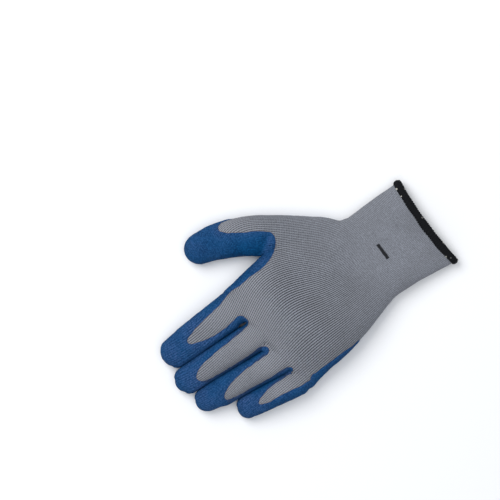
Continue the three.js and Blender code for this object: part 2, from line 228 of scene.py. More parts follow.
# The width of a face in millimetres: the latex's edge needs finer ones than the knit under it
LATEX_FACE = 1.0
KNIT_FACE = 1.06
LINING_FACE = 1.7
EASING = 12  # rounds, at a face a millimetre wide
EDGE_TURN = 9.0  # radius with which the surface turns over at the sides of the hand
TURN_FADE = (2.1, 2.8)  # tilts, in radians, between which the knit's unrolling ends underneath


def smooth_column(places, rows, name, by="along"):
    """A cubic through a table's column. At each row its slope is that between its neighbours."""
    x = rows[by]
    y = rows[name]
    slope = np.gradient(y, x)
    i = np.clip(np.searchsorted(x, places) - 1, 0, len(x) - 2)
    step = x[i + 1] - x[i]
    t = np.clip((places - x[i]) / step, 0, 1)
    early = (2 * t**3 - 3 * t**2 + 1) * y[i] + (t**3 - 2 * t**2 + t) * step * slope[i]
    late = (3 * t**2 - 2 * t**3) * y[i + 1] + (t**3 - t**2) * step * slope[i + 1]
    return early + late


def smooth_line(points, steps):
    """A curve through points: a cubic in x and one in y over the length of the chords."""
    points = np.array(points, float)
    length = np.concatenate([[0], np.cumsum(np.hypot(*np.diff(points, axis=0).T))])
    rows = dict(along=length, x=points[:, 0], y=points[:, 1])
    places = np.linspace(0, length[-1], steps)
    return np.column_stack([smooth_column(places, rows, "x"), smooth_column(places, rows, "y")])


def smooth_step(value, start, end):
    """0 before start, 1 after end, and 3t^2 - 2t^3 between them."""
    t = np.clip((value - start) / (end - start), 0, 1)
    return t * t * (3 - 2 * t)


def unevenness(places, size, seed):
    """Smooth random heights from -1 to 1: a lattice of random values with the given spacing in
    millimetres, blended by 3t^2 - 2t^3 between its corners."""
    lattice = np.random.default_rng(seed).uniform(-1, 1, (64, 64, 64))
    cell = places / size
    low = np.floor(cell).astype(int)
    part = cell - low
    part = part * part * (3 - 2 * part)
    total = np.zeros(len(places))
    for corner in np.ndindex(2, 2, 2):
        at = (low + corner) % 64
        weight = np.prod(np.where(corner, part, 1 - part), axis=1)
        total += weight * lattice[at[:, 0], at[:, 1], at[:, 2]]
    return total


def uneven(places, waves):
    """The sum of several unevennesses, each with its size, height and seed."""
    return sum(height * unevenness(places, size, seed) for size, height, seed in waves)


def soft_floor(z, floor):
    """What would lie below the floor is pressed flat: (h + sqrt(h^2 + 1)) / 2 above it."""
    above = z - floor
    return floor + (above + np.sqrt(above**2 + 1.0)) / 2 - 0.1


def oblong(angle):
    """Across and upward shares of a section's outline at an angle round it: |cos|^(2/n) and
    |sin|^(2/n), with n for the back where sin is positive, and n for the underside elsewhere."""
    power = 2 / np.where(np.sin(angle) >= 0, ROUND_BACK, ROUND_UNDER)
    across = np.sign(np.cos(angle)) * np.abs(np.cos(angle)) ** power
    upward = np.sign(np.sin(angle)) * np.abs(np.sin(angle)) ** power
    return across, upward


def carried(place, heading, half, back, under, inset=0.0):
    """A section carried along a path: a grid of points, a row for each place. An inset draws it in
    all round."""
    across, upward = oblong(np.linspace(0, 2 * math.pi, SECTION_SIDES, endpoint=False))
    half, back, under = half - inset, back - inset, under + inset
    middle = (under + (back - under) * WIDEST)[:, None]
    reach = np.where(upward >= 0, back[:, None] - middle, middle - under[:, None])
    sideways = half[:, None] * across
    x = place[:, 0, None] + sideways * heading[:, 1, None]
    y = place[:, 1, None] - sideways * heading[:, 0, None]
    return np.stack([x, y, soft_floor(middle + reach * upward, FILM + inset)], axis=-1)


def rounded_end(place, heading, half, back, under, length):
    """The columns that carry a section on to a rounded end: it goes forward with the sine and
    shrinks with the cosine of an angle, and its middle sinks a little."""
    turn = np.linspace(0, 0.49 * math.pi, TIP_STEPS)[1:]
    shrink = np.cos(turn)
    middle = under + (back - under) * WIDEST
    level = middle + ((back + under) * TIP_LEVEL - middle) * (1 - shrink)
    return (
        place + (length * np.sin(turn))[:, None] * heading,
        np.repeat(heading[None], len(turn), axis=0),
        half * shrink,
        level + (back - middle) * shrink,
        level - (middle - under) * shrink,
    )


def tube(columns, tip, inset):
    """A closed tube from a section's columns, with a rounded end of the given length."""
    end = rounded_end(*[column[-1] for column in columns], tip)
    joined = [np.concatenate(pair) for pair in zip(columns, end)]
    return closed(carried(*joined, inset))


def closed(grid):
    """Points and faces of a tube: four-sided between its rows, fans over its two ends."""
    rows, sides = grid.shape[:2]
    index = np.arange(rows * sides).reshape(rows, sides)
    turned = np.roll(index, -1, axis=1)
    walls = np.stack([index[:-1], index[1:], turned[1:], turned[:-1]], axis=-1).reshape(-1, 4)
    start = np.column_stack([np.full(sides, rows * sides), index[0], turned[0]])
    finish = np.column_stack([np.full(sides, rows * sides + 1), turned[-1], index[-1]])
    points = np.concatenate([grid.reshape(-1, 3), [grid[0].mean(0), grid[-1].mean(0)]])
    return points, [*walls.tolist(), *start.tolist(), *finish.tolist()]


def cuff_columns(y):
    """The cuff's section at each place from the hem to the wrist."""
    flare = smooth_column(y / CUFF_LENGTH, CUFF_SECTIONS, "flare")
    middle = WRIST_SHIFT + (HEM_SHIFT - WRIST_SHIFT) * flare
    half = (WRIST_WIDTH + (CUFF_WIDTH - WRIST_WIDTH) * flare) / 2
    back = FILM + WRIST_HEIGHT + (CUFF_HEIGHT - WRIST_HEIGHT) * flare
    return middle, half, back, np.full_like(y, FILM - PRESSED)


def bow(x, y):
    """How far the cuff's rows lie back in its middle: most at the hem, none from half-way on."""
    share = np.clip(1 - 2 * y / CUFF_LENGTH, 0, 1)
    return share * HEM_BOW * (1 - (2 * x / CUFF_WIDTH) ** 2)


def hand_tube(inset):
    """The cuff and the palm as one tube, rounded off at the webs."""
    y = np.linspace(-4, CUFF_LENGTH, 40)
    middle, half, back, under = cuff_columns(y)
    share = np.linspace(0.02, HAND_SECTIONS["along"][-1], 70)
    wrist_half = WRIST_WIDTH / 2
    little = smooth_column(share, HAND_SECTIONS, "little")
    thumb = smooth_column(share, HAND_SECTIONS, "thumb")
    left = WRIST_SHIFT - wrist_half + (wrist_half - WRIST_SHIFT - LITTLE_EDGE) * little
    right = WRIST_SHIFT + wrist_half + (THUMB_EDGE - WRIST_SHIFT - wrist_half) * thumb
    rise = smooth_column(share, HAND_SECTIONS, "rise")
    palm_back = FILM + WRIST_HEIGHT + (PALM_HEIGHT - WRIST_HEIGHT) * rise
    palm_y = CUFF_LENGTH + share * HAND_LENGTH
    last = dict(y=palm_y[-1], half=(right - left)[-1] / 2, back=palm_back[-1], under=FILM - PRESSED)
    turn = np.linspace(0, 1.45, 12)[1:]
    front = WEB_LINE - FILM - inset - last["y"]
    centre = last["under"] + (last["back"] - last["under"]) * WIDEST
    flat = 0.3 + 0.7 * np.cos(turn)
    grid = carried(
        np.column_stack([
            np.concatenate([middle, (left + right) / 2, np.full_like(turn, (left + right)[-1] / 2)]),
            np.concatenate([y, palm_y, last["y"] + front * np.sin(turn)]),
        ]),
        np.tile([0.0, 1.0], (len(y) + len(share) + len(turn), 1)),
        np.concatenate([half, (right - left) / 2, last["half"] - front * (1 - np.cos(turn)) * 0.4]),
        np.concatenate([back, palm_back, centre + (last["back"] - centre) * flat]),
        np.concatenate([
            under,
            np.full_like(share, last["under"]),
            centre + (last["under"] - centre) * flat,
        ]),
        inset,
    )
    x = grid[..., 0]
    along = np.clip((grid[..., 1] - CUFF_LENGTH) / HAND_LENGTH, 0, 1)
    grid[..., 1] += np.where(along > 0, along**3 * WEB_SLOPE * x, bow(x, grid[..., 1]))
    return closed(grid)


def hand_place(across, along):
    """A place on the hand: across as a share of the palm's edge on that side, along of WEB_LINE."""
    return np.stack([across * np.where(across > 0, THUMB_EDGE, LITTLE_EDGE), along * WEB_LINE], -1)


def finger_line(name):
    """Where a finger's middle line passes the webs, where it starts in the palm, and its heading."""
    finger = FINGERS[name]
    web = hand_place(np.array(finger["web"]), 1.0)
    web[1] += WEB_SLOPE * web[0]
    root = hand_place(np.array(finger["root"]), 1.0)
    root[1] = web[1] - FINGER_ROOT
    lean = math.radians(finger["lean"])
    return web, root, np.array([math.sin(lean), math.cos(lean)])


def finger_tube(name, inset):
    """A finger's stall over the knit: from its root in the palm straight on to its rounded tip."""
    finger = FINGERS[name]
    web, root, heading = finger_line(name)
    share = np.linspace(0, FINGER_SECTIONS["along"][-1], STEPS)
    place = web + (share * finger["length"])[:, None] * heading
    wide = smooth_column(share, FINGER_SECTIONS, "wide")
    back = smooth_column(share, FINGER_SECTIONS, "back")
    under = smooth_column(share, FINGER_SECTIONS, "under")
    rooted = np.linspace(0, 1, 12, endpoint=False)

    def from_root(label, column):
        first = ROOT_SECTION[label]
        return np.concatenate([first + (column[0] - first) * smooth_step(rooted, 0, 1), column])

    columns = (
        np.concatenate([root + rooted[:, None] * (web - root), place]),
        np.repeat(heading[None], len(rooted) + STEPS, axis=0),
        finger["width"] / 2 * from_root("wide", wide) - FILM,
        FINGER_HEIGHT * (finger["lift"] + from_root("back", back)) - FILM,
        FINGER_HEIGHT * from_root("under", under) + FILM,
    )
    tip = (1 - FINGER_SECTIONS["along"][-1]) * finger["length"] - FILM
    return tube(columns, tip - inset, inset)


def finger_side(name, side):
    """The outline of a finger over the knit from its web on, to the thumb's side or away from it."""
    web, _, heading = finger_line(name)
    share = np.linspace(0, FINGER_SECTIONS["along"][-1], STEPS)
    half = FINGERS[name]["width"] / 2 * smooth_column(share, FINGER_SECTIONS, "wide") - FILM
    sideways = np.array([heading[1], -heading[0]])
    along = (share * FINGERS[name]["length"])[:, None] * heading
    return web + along + side * half[:, None] * sideways


def thumb_tube(inset):
    """The thumb's stall over the knit, along a curved middle line to its rounded tip."""
    line = hand_place(THUMB_SECTIONS["across"], THUMB_SECTIONS["along"])
    place = smooth_line(line, STEPS)
    length = np.concatenate([[0], np.cumsum(np.hypot(*np.diff(line, axis=0).T))])
    rows = {**THUMB_SECTIONS, "along": length}
    at = np.linspace(0, length[-1], STEPS)
    heading = np.gradient(place, axis=0)
    heading /= np.linalg.norm(heading, axis=1)[:, None]
    columns = (
        place,
        heading,
        THUMB_WIDTH / 2 * smooth_column(at, rows, "wide") - FILM,
        THUMB_HEIGHT * smooth_column(at, rows, "back") - FILM,
        THUMB_HEIGHT * smooth_column(at, rows, "under") + FILM,
    )
    return tube(columns, THUMB_TIP - FILM - inset, inset)


def linear(hex_colour):
    """An sRGB hex colour as linear red, green, blue and alpha."""
    values = [int(hex_colour[i : i + 2], 16) / 255 for i in (1, 3, 5)]
    return (*[v / 12.92 if v <= 0.04045 else ((v + 0.055) / 1.055) ** 2.4 for v in values], 1)


def fused(parts, voxel):
    """One skin round all the tubes, of four-sided faces of the given width. Returns its points in
    millimetres and its faces."""
    points = np.concatenate([part[0] for part in parts])
    starts = np.cumsum([0] + [len(part[0]) for part in parts[:-1]])
    faces = [[i + start for i in face] for start, part in zip(starts, parts) for face in part[1]]
    mesh = bpy.data.meshes.new("tubes")
    mesh.from_pydata((points * MM).tolist(), [], faces)
    piece = bpy.data.objects.new("tubes", mesh)
    bpy.context.scene.collection.objects.link(piece)
    remesh = piece.modifiers.new("fuse", "REMESH")
    remesh.mode = "VOXEL"
    remesh.voxel_size = voxel * MM
    made = piece.evaluated_get(bpy.context.evaluated_depsgraph_get()).to_mesh()
    places = np.empty(len(made.vertices) * 3)
    made.vertices.foreach_get("co", places)
    corners = np.empty(len(made.loops), int)
    made.loops.foreach_get("vertex_index", corners)
    bpy.data.objects.remove(piece)
    bpy.data.meshes.remove(mesh)
    return places.reshape(-1, 3) / MM, corners.reshape(-1, 4)


def eased(places, faces, rounds, share=0.5, back=-0.53):
    """Each round moves every point a share of the way to the mean of its neighbours and then
    nearly as far back, which takes small bumps off and keeps the size."""
    start = faces.ravel()
    end = np.roll(faces, -1, axis=1).ravel()
    count = len(places)
    degree = np.bincount(start, minlength=count)[:, None]
    for amount in [share, back] * rounds:
        total = np.column_stack([np.bincount(start, places[end, k], count) for k in range(3)])
        places = places + amount * (total / degree - places)
    return places


def normals_of(places, faces):
    """The unit normal at each point: the mean of the crossed diagonals of the faces round it."""
    first = places[faces[:, 2]] - places[faces[:, 0]]
    second = places[faces[:, 3]] - places[faces[:, 1]]
    crossed = np.cross(first, second)
    total = np.zeros_like(places)
    for k in range(3):
        total[:, k] = np.bincount(faces.ravel(), np.repeat(crossed[:, k], 4), len(places))
    return total / np.maximum(np.linalg.norm(total, axis=1), 1e-9)[:, None]


def web_tube(inset, start, end, half, back):
    """The knit across the foot of the gap between two fingers: an oblong carried straight on."""
    start, end = np.array(start, float), np.array(end, float)
    share = np.linspace(0, 1, 14)
    heading = (end - start) / np.linalg.norm(end - start)
    columns = (
        start + share[:, None] * (end - start),
        np.repeat(heading[None], 14, axis=0),
        np.full(14, float(half)),
        back - 2.5 * share**2,
        np.full(14, FILM + 2.5),
    )
    return tube(columns, 1.8 - 0.8 * inset, inset)


def line_distance(places, line):
    """Distance in plan to a line of points: the least distance to its straight pieces."""
    flat = places[:, :2]
    nearest = np.full(len(places), np.inf)
    for start, end in zip(line[:-1], line[1:]):
        side = end - start
        share = np.clip((flat - start) @ side / max(side @ side, 1e-9), 0, 1)
        nearest = np.minimum(nearest, np.linalg.norm(flat - start - share[:, None] * side, axis=1))
    return nearest


def outline_distance(places, outline):
    """Distance in plan to a closed outline, negative inside it: the sign comes from how often a
    line to one side crosses it."""
    x, y = places[:, 0], places[:, 1]
    inside = np.zeros(len(places), bool)
    for start, end in zip(outline, np.roll(outline, -1, axis=0)):
        if end[1] != start[1]:
            crosses = (start[1] > y) != (end[1] > y)
            across = start[0] + (y - start[1]) * (end[0] - start[0]) / (end[1] - start[1])
            inside ^= crosses & (x < across)
    nearest = line_distance(places, np.concatenate([outline, outline[:1]]))
    return np.where(inside, -nearest, nearest)


def strip_outline(name):
    """A bare strip's outline: half its width times sqrt(1 - t^square) either side of its middle,
    which is the parabola through its three places."""
    strip = BARE_STRIPS[name]
    web, _, heading = finger_line(name)
    t = np.concatenate([[-0.25], 1 - np.linspace(1, 0, 40) ** 2])
    half = strip["half"] * np.sqrt(np.clip(1 - np.clip(t, 0, 1) ** strip["square"], 0, 1))
    s = np.clip(t, 0, 1)
    bend = [strip["root"] * (1 - 2 * s) * (1 - s), strip["middle"] * 4 * s * (1 - s)]
    middle = sum(bend) + strip["end"] * s * (2 * s - 1)
    across = np.concatenate([middle + half, (middle - half)[::-1]])
    along = np.concatenate([t, t[::-1]]) * strip["length"]
    sideways = np.array([heading[1], -heading[0]])
    return web + across[:, None] * sideways + along[:, None] * heading


def rounded_least(a, b, radius):
    """The lesser of two distances, eased over a radius, so that the corner between them is round."""
    mixed = np.clip(0.5 + 0.5 * (b - a) / radius, 0, 1)
    return b + (a - b) * mixed - radius * mixed * (1 - mixed)


def coating_depth(places, normals):
    """How far each point lies inside the latex's edge in millimetres, negative on the bare knit.
    The edge is that of the outlines in plan, or where the surface turns down at the sides."""
    back = smooth_line(BACK_OUTLINE, 220)
    bare = outline_distance(places, np.concatenate([back, [(130, -60), (-90, -60), (-90, 96.5)]]))
    for name in BARE_STRIPS:
        bare = rounded_least(bare, outline_distance(places, strip_outline(name)), 4.0)
    waves = uneven(places, EDGE_WAVES)
    x, y, z = places.T
    by_thumb = smooth_step(x, 38, 50) * (1 - smooth_step(y, 126, 134))
    low = EDGE_LEVEL + (THUMB_EDGE_LEVEL - EDGE_LEVEL) * by_thumb - z
    steep = TILT_REACH * (FINGER_EDGE_TILT - normals[:, 2])
    side = low + (steep - low) * smooth_step(y, 158, 174)
    bare = -rounded_least(-(bare + waves), -(side + 1.2 * waves), 2.0)
    wrist = smooth_line(WRIST_OUTLINE, 120)
    behind = outline_distance(places, np.concatenate([wrist, [(-90, -60), (130, -60)]]))
    return rounded_least(bare, behind + waves, WRIST_ROUND)


def knit_counts(places, normals):
    """Counts of wales and of courses at each point. Each count is a linear function of the place
    plus a bump round each row of WALE_LEANS, fitted by least squares so that it doesn't change
    along the lean there and grows by one in a pitch across it, or the other way round."""
    spots = np.column_stack([WALE_LEANS["x"], WALE_LEANS["y"]])
    lean = np.radians(WALE_LEANS["lean"])
    pitch = np.interp(WALE_LEANS["y"], WALE_PITCH["along"], WALE_PITCH["pitch"])
    along = np.column_stack([np.sin(lean), np.cos(lean)])
    across = np.column_stack([np.cos(lean), -np.sin(lean)])

    def bumps(points):
        offset = points[:, None] - spots[None]
        return np.exp(-(offset**2).sum(-1) / (2 * WALE_REACH**2)), offset

    def slopes(direction):
        height, offset = bumps(spots)
        fall = -height * (offset * direction[:, None]).sum(-1) / WALE_REACH**2
        return np.column_stack([fall, direction]) * pitch[:, None]

    def fitted(still, growing, count):
        steady = np.eye(len(spots) + 2)[:-2] * 0.02
        sides = np.vstack([slopes(still), PITCH_WEIGHT * slopes(growing), steady])
        wanted = np.repeat([0, PITCH_WEIGHT * count, 0], len(spots))
        return np.linalg.lstsq(sides, wanted, rcond=None)[0]

    level = np.linalg.norm(normals[:, :2], axis=1)
    tilt = np.arccos(np.clip(normals[:, 2], -1, 1))
    outward = normals[:, :2] / np.maximum(level, 1e-6)[:, None]
    turned = EDGE_TURN * (tilt - level) * (1 - smooth_step(tilt, *TURN_FADE))
    unrolled = places[:, :2] + turned[:, None] * outward
    height = bumps(unrolled)[0]
    counts = [
        np.column_stack([height, unrolled]) @ fitted(along, across, 1.0),
        np.column_stack([height, unrolled]) @ fitted(across, along, 1 / COURSE_SHARE),
    ]
    return np.column_stack(counts)


def make_piece(name, places, faces, counts=None, measures=None):
    """A smooth piece from points in millimetres on the hand's axes and four-sided faces, with a UV
    map of counts of stitches and named measures at its points. Both sheets of a wall share them."""
    used = np.unique(faces)
    number = np.zeros(len(places), int)
    number[used] = np.arange(len(used))
    faces = number[faces]
    mesh = bpy.data.meshes.new(name)
    shifted = (places[used] + (*HAND_ORIGIN, 0)) * MM
    mesh.vertices.add(len(used))
    mesh.vertices.foreach_set("co", shifted.ravel())
    mesh.loops.add(faces.size)
    mesh.loops.foreach_set("vertex_index", faces.ravel())
    mesh.polygons.add(len(faces))
    mesh.polygons.foreach_set("loop_start", np.arange(0, faces.size, 4))
    mesh.update(calc_edges=True)
    if counts is not None:
        layer = mesh.uv_layers.new(name="stitches")
        layer.data.foreach_set("uv", counts[used % len(counts)][faces.ravel()].ravel())
    for label, values in (measures or {}).items():
        attribute = mesh.attributes.new(label, "FLOAT", "POINT")
        attribute.data.foreach_set("value", values[used % len(values)])
    mesh.polygons.foreach_set("use_smooth", np.ones(len(faces), bool))
    mesh.validate()
    piece = bpy.data.objects.new(name, mesh)
    bpy.context.scene.collection.objects.link(piece)
    return piece


def join_rims(piece):
    """Joins a piece's two free rims with a band of faces."""
    work = bmesh.new()
    work.from_mesh(piece.data)
    bmesh.ops.bridge_loops(work, edges=[edge for edge in work.edges if edge.is_boundary])
    for face in work.faces:
        face.smooth = True
    work.to_mesh(piece.data)
    work.free()


def walled(outer, inner, faces):
    """A closed wall from an outer and an inner sheet with the same faces: the inner one is turned
    round, and a row of faces joins them along every free edge."""
    count = len(outer)
    start = faces.ravel()
    end = np.roll(faces, -1, axis=1).ravel()
    forward = start * count + end
    free = ~np.isin(forward, end * count + start)
    rim = np.column_stack([end[free], start[free], start[free] + count, end[free] + count])
    return np.concatenate([outer, inner]), np.concatenate([faces, faces[:, ::-1] + count, rim])


# Materials


def add_node(tree, kind, inputs=(), out=0, **settings):
    """Adds a node with its settings, sets or links its inputs, which are given in their order or by
    name, and returns one of its outputs."""
    node = tree.nodes.new("ShaderNode" + kind)
    for name, value in settings.items():
        setattr(node, name, value)
    for name, value in inputs.items() if isinstance(inputs, dict) else enumerate(inputs):
        if isinstance(value, bpy.types.NodeSocket):
            tree.links.new(value, node.inputs[name])
        else:
            node.inputs[name].default_value = value
    return node.outputs[out]


def new_material(name, roughness, specular, **finish):
    """A material with its shader's own numbers, the function that adds its nodes, and the one that
    links its colour and its relief."""
    material = bpy.data.materials.new(name)
    material.use_nodes = True
    tree = material.node_tree
    shader = tree.nodes["Principled BSDF"]
    numbers = {"Roughness": roughness, "Specular IOR Level": specular}
    for label, value in {**numbers, **{k.replace("_", " "): v for k, v in finish.items()}}.items():
        shader.inputs[label].default_value = value

    def dress(colour, normal):
        tree.links.new(colour, shader.inputs["Base Color"])
        tree.links.new(normal, shader.inputs["Normal"])
        return material

    return partial(add_node, tree), dress


def knit_material():
    """Stockinette of mid-grey cotton and polyester yarn, knitted in the round. To the eye: light
    wales with thin dark grooves between them, a V of two strands at each stitch, and no gloss;
    the dark of the grooves and of the holes at the stitches' turns is painted shade."""
    add, dress = new_material("grey_stockinette", 0.95, 0.15, Sheen_Weight=0.1, Sheen_Roughness=0.5)
    where = add("TexCoord", out=3)
    stitches = add("UVMap", uv_map="stitches")
    across = add("SeparateXYZ", [stitches], 0)
    along = add("SeparateXYZ", [stitches], 1)
    half = add("Math", [across, 0.5], operation="PINGPONG")
    wale = add("Math", [half, 2.0], operation="MULTIPLY")
    slanted = add("Math", [along, half], operation="ADD")
    strand = add("Math", [slanted, 0.5], operation="PINGPONG")
    body = add("MapRange", [wale, 0.05, 0.6, 0.0, 1.0], interpolation_type="SMOOTHSTEP")
    groove = add("Math", [1.0, body], operation="SUBTRACT")
    hole = add("MapRange", [strand, 0.1, 0.42, 1.0, 0.58], interpolation_type="SMOOTHSTEP")
    dotted = add("Math", [groove, hole], operation="MULTIPLY")
    turned = add("MapRange", [strand, 0.0, 0.18, 0.17, 0.0], interpolation_type="SMOOTHSTEP")
    shut = add("Math", [dotted, turned], operation="MAXIMUM")
    lit = add("Math", [1.0, shut], operation="SUBTRACT")
    opened = add("Attribute", attribute_name="opened", out=2)
    shade = add("Math", [shut, opened], operation="MULTIPLY")
    fibre = add("TexNoise", {"Vector": where, "Scale": 1000 / 1.1, "Detail": 3.0, "Roughness": 0.6})
    cloud = add("TexNoise", {"Vector": where, "Scale": 1000 / 26, "Detail": 2.0})
    yarn = add("MapRange", [fibre, 0.3, 0.7, 0.0, 1.0])
    light = add("Mix", {0: yarn, 6: linear("#6f7279"), 7: linear("#9296a0")}, 2, data_type="RGBA")
    tone = add("MapRange", [cloud, 0.35, 0.65, 0.0, 0.3])
    light = add("Mix", {0: tone, 6: light, 7: linear("#6f7177")}, 2, data_type="RGBA")
    pale = add("Attribute", attribute_name="pale", out=2)
    light = add("Mix", {0: pale, 6: light, 7: linear("#9a9ca4")}, 2, data_type="RGBA")
    # painted shade: the grooves and the holes at the stitches' turns are darkened, more where they
    # stand open
    colour = add("Mix", {0: shade, 6: light, 7: linear("#1d1f23")}, 2, data_type="RGBA")
    depth = add("Attribute", attribute_name="coating_depth", out=2)
    soaked = add("MapRange", [depth, -0.8, -0.2, 0.0, 0.45], interpolation_type="SMOOTHSTEP")
    colour = add("Mix", {0: soaked, 6: colour, 7: linear("#6d625f")}, 2, data_type="RGBA")
    ink = add("Attribute", attribute_name="ink", out=2)
    printed = add("Math", [ink, fibre], operation="ADD")
    inked = add("MapRange", [printed, 0.95, 1.3, 0.0, 0.96])
    colour = add("Mix", {0: inked, 6: colour, 7: linear("#17181b")}, 2, data_type="RGBA")
    height = add("Math", [lit, opened], operation="MULTIPLY")
    rib = add("Bump", {"Strength": 0.55, "Distance": 0.45 * MM, "Height": height})
    fluff = add("Bump", {"Strength": 0.35, "Distance": 0.15 * MM, "Height": fibre, "Normal": rib})
    return dress(colour, fluff)


def latex_material():
    """Crinkled natural latex foam, dipped and dried. To the eye: deep matt blue with a fine grain,
    paler and dustier where the film is thin near its edge and at the fingertips, paler too with
    painted light where it faces up and along the web's flat band, and faint ribs of the knit under
    it, with painted shade in their grooves."""
    add, dress = new_material("blue_crinkled_latex", 0.72, 0.06)
    where = add("TexCoord", out=3)
    depth = add("Attribute", attribute_name="coating_depth", out=2)
    dusty = add("Attribute", attribute_name="dusty", out=2)
    grain = add("TexNoise", {"Vector": where, "Scale": 1000 / 1.3, "Detail": 4.0, "Roughness": 0.65})
    cloud = add("TexNoise", {"Vector": where, "Scale": 1000 / 11, "Detail": 3.0})
    patch = add("MapRange", [cloud, 0.35, 0.65, 0.0, 1.0])
    deep = add("Mix", {0: patch, 6: linear("#02345e"), 7: linear("#034270")}, 2, data_type="RGBA")
    speck = add("MapRange", [grain, 0.46, 0.62, 0.0, 0.8])
    deep = add("Mix", {0: speck, 6: deep, 7: linear("#0d5488")}, 2, data_type="RGBA")
    # paler where the film is dustier, and with painted light where it faces up and along the web's band
    dust_and_light_amount = add("Math", [add("MapRange", [grain, 0.38, 0.62, 0.3, 1.5]), dusty], operation="MULTIPLY")
    colour = add("Mix", {0: dust_and_light_amount, 6: deep, 7: linear("#405f92")}, 2, data_type="RGBA")
    edge = add("MapRange", [depth, 0.0, 0.4, 0.4, 0.0])
    colour = add("Mix", {0: edge, 6: colour, 7: linear("#3c3a48")}, 2, data_type="RGBA")
    across = add("SeparateXYZ", [add("UVMap", uv_map="stitches")], 0)
    wale = add("MapRange", [add("Math", [across, 0.5], operation="PINGPONG"), 0.0, 0.3, 0.0, 1.0])
    shown = add("MapRange", [dusty, 0.0, 1.0, 0.22, 1.0])
    rib = add("Math", [wale, shown], operation="MULTIPLY")
    # painted shade: the grooves between the knit's ribs under the film are darkened
    rib_groove_shade = add("MapRange", [add("Math", [shown, rib], operation="SUBTRACT"), 0.0, 1.0, 0.0, 0.75])
    colour = add("Mix", {0: rib_groove_shade, 6: colour, 7: linear("#03305a")}, 2, data_type="RGBA")
    ribs = add("Bump", {"Strength": 0.8, "Distance": 0.7 * MM, "Height": rib})
    folds = add("TexNoise", {"Vector": where, "Scale": 1000 / 2.6, "Detail": 4.0, "Roughness": 0.6})
    fold = add("Bump", {"Strength": 0.8, "Distance": 1.2 * MM, "Height": folds, "Normal": ribs})
    fine = add("Bump", {"Strength": 0.8, "Distance": 0.7 * MM, "Height": grain, "Normal": fold})
    return dress(colour, fine)


def thread_material():
    """Black polyester overlock thread. To the eye: near black and dull, with a few pale flecks
    painted in as glints off the elastic under it."""
    add, dress = new_material("black_overlock_thread", 0.85, 0.2)
    where = add("TexCoord", out=3)
    fuzz = add("TexNoise", {"Vector": where, "Scale": 1000 / 1.0, "Detail": 3.0, "Roughness": 0.6})
    black = add("Mix", {0: fuzz, 6: linear("#030406"), 7: linear("#101217")}, 2, data_type="RGBA")
    near = add("TexVoronoi", {"Vector": where, "Scale": 1000 / 3.4}, 0)
    draw = add("SeparateXYZ", [add("TexVoronoi", {"Vector": where, "Scale": 1000 / 3.4}, 1)], 0)
    chosen = add("Math", [draw, 0.8], operation="GREATER_THAN")
    dot = add("MapRange", [near, 0.16, 0.3, 0.9, 0.0])
    painted_glint = add("Math", [dot, chosen], operation="MULTIPLY")
    # painted highlights: pale glints off the elastic under the thread
    colour = add("Mix", {0: painted_glint, 6: black, 7: linear("#c9c6bd")}, 2, data_type="RGBA")
    relief = add("Bump", {"Strength": 0.5, "Distance": 0.2 * MM, "Height": fuzz})
    return dress(colour, relief)


def floor_material():
    """A pale matt board with a barely uneven face."""
    add, dress = new_material("pale_board", 0.9, 0.2)
    cloud = add("TexNoise", {"Vector": add("TexCoord", out=3), "Scale": 3.0, "Detail": 2.0})
    colour = add("Mix", {0: cloud, 6: linear("#f1f2f4"), 7: linear("#f5f6f8")}, 2, data_type="RGBA")
    return dress(colour, add("Bump", {"Strength": 0.05, "Height": cloud}))


# The glove's skin over the knit

def glove_skin(face, inset=0.0):
    """The glove's skin over the knit, or at an inset under it, eased where its tubes meet, with its
    slack and its creases. Returns its points, faces and normals, the coating's depth and the counts
    of stitches."""
    tubes = [hand_tube(inset), thumb_tube(inset)]
    tubes += [finger_tube(name, inset) for name in FINGERS]
    tubes += [web_tube(inset, **web) for web in WEBS]
    places, faces = fused(tubes, face)
    places = eased(places, faces, round(EASING / face**2))
    normals = normals_of(places, faces)
    upper = smooth_step(normals[:, 2], 0.2, 0.7)
    sunk = np.zeros(len(places))
    for crease in CREASES:
        away = line_distance(places, np.array(crease["line"], float))
        sunk += crease["depth"] * np.exp(-((away / crease["width"]) ** 2))
    places = places + (uneven(places, SLACK) - upper * sunk)[:, None] * normals
    places[:, 2] = np.maximum(places[:, 2], FILM + inset)
    normals = normals_of(places, faces)
    return places, faces, normals, coating_depth(places, normals), knit_counts(places, normals)


def past_hem(places, faces):
    """The faces that lie on the hand's side of the cuff's mouth."""
    x, y = places[faces, 0], places[faces, 1]
    return faces[(y - bow(x, y)).min(axis=1) > MOUTH_EDGE]


# The knitted liner, open at the hem: a fine sheet outside, a coarser one inside, joined at the mouth

outside = glove_skin(KNIT_FACE)
inside = glove_skin(LINING_FACE, KNIT_WALL)
skin, normals, depth, counts = [np.concatenate([outside[k], inside[k]]) for k in (0, 2, 3, 4)]
lining = past_hem(inside[0], inside[1])[:, ::-1] + len(outside[0])
# The stitches stand open least on the cuff's close rib and most over the back of the hand; how
# open they stand sets their relief and the shade painted into their grooves
opened = 0.68 + 0.46 * smooth_step(skin[:, 1], 58, 96) - 0.24 * smooth_step(skin[:, 1], 150, 190)
opened += 0.32 * np.exp(-((skin[:, :2] - STRETCHED) ** 2).sum(axis=1) / (2 * STRETCH_REACH**2))
opened *= 0.92 + 0.3 * unevenness(skin, 30, 7)
# The knit is paler over the fingers' roots, and less so further up them
pale = smooth_step(skin[:, 1] + 0.35 * skin[:, 0], 135, 175) * (0.5 + 0.15 * unevenness(skin, 24, 9))
pale *= 1 - 0.7 * smooth_step(skin[:, 1], 170, 196)
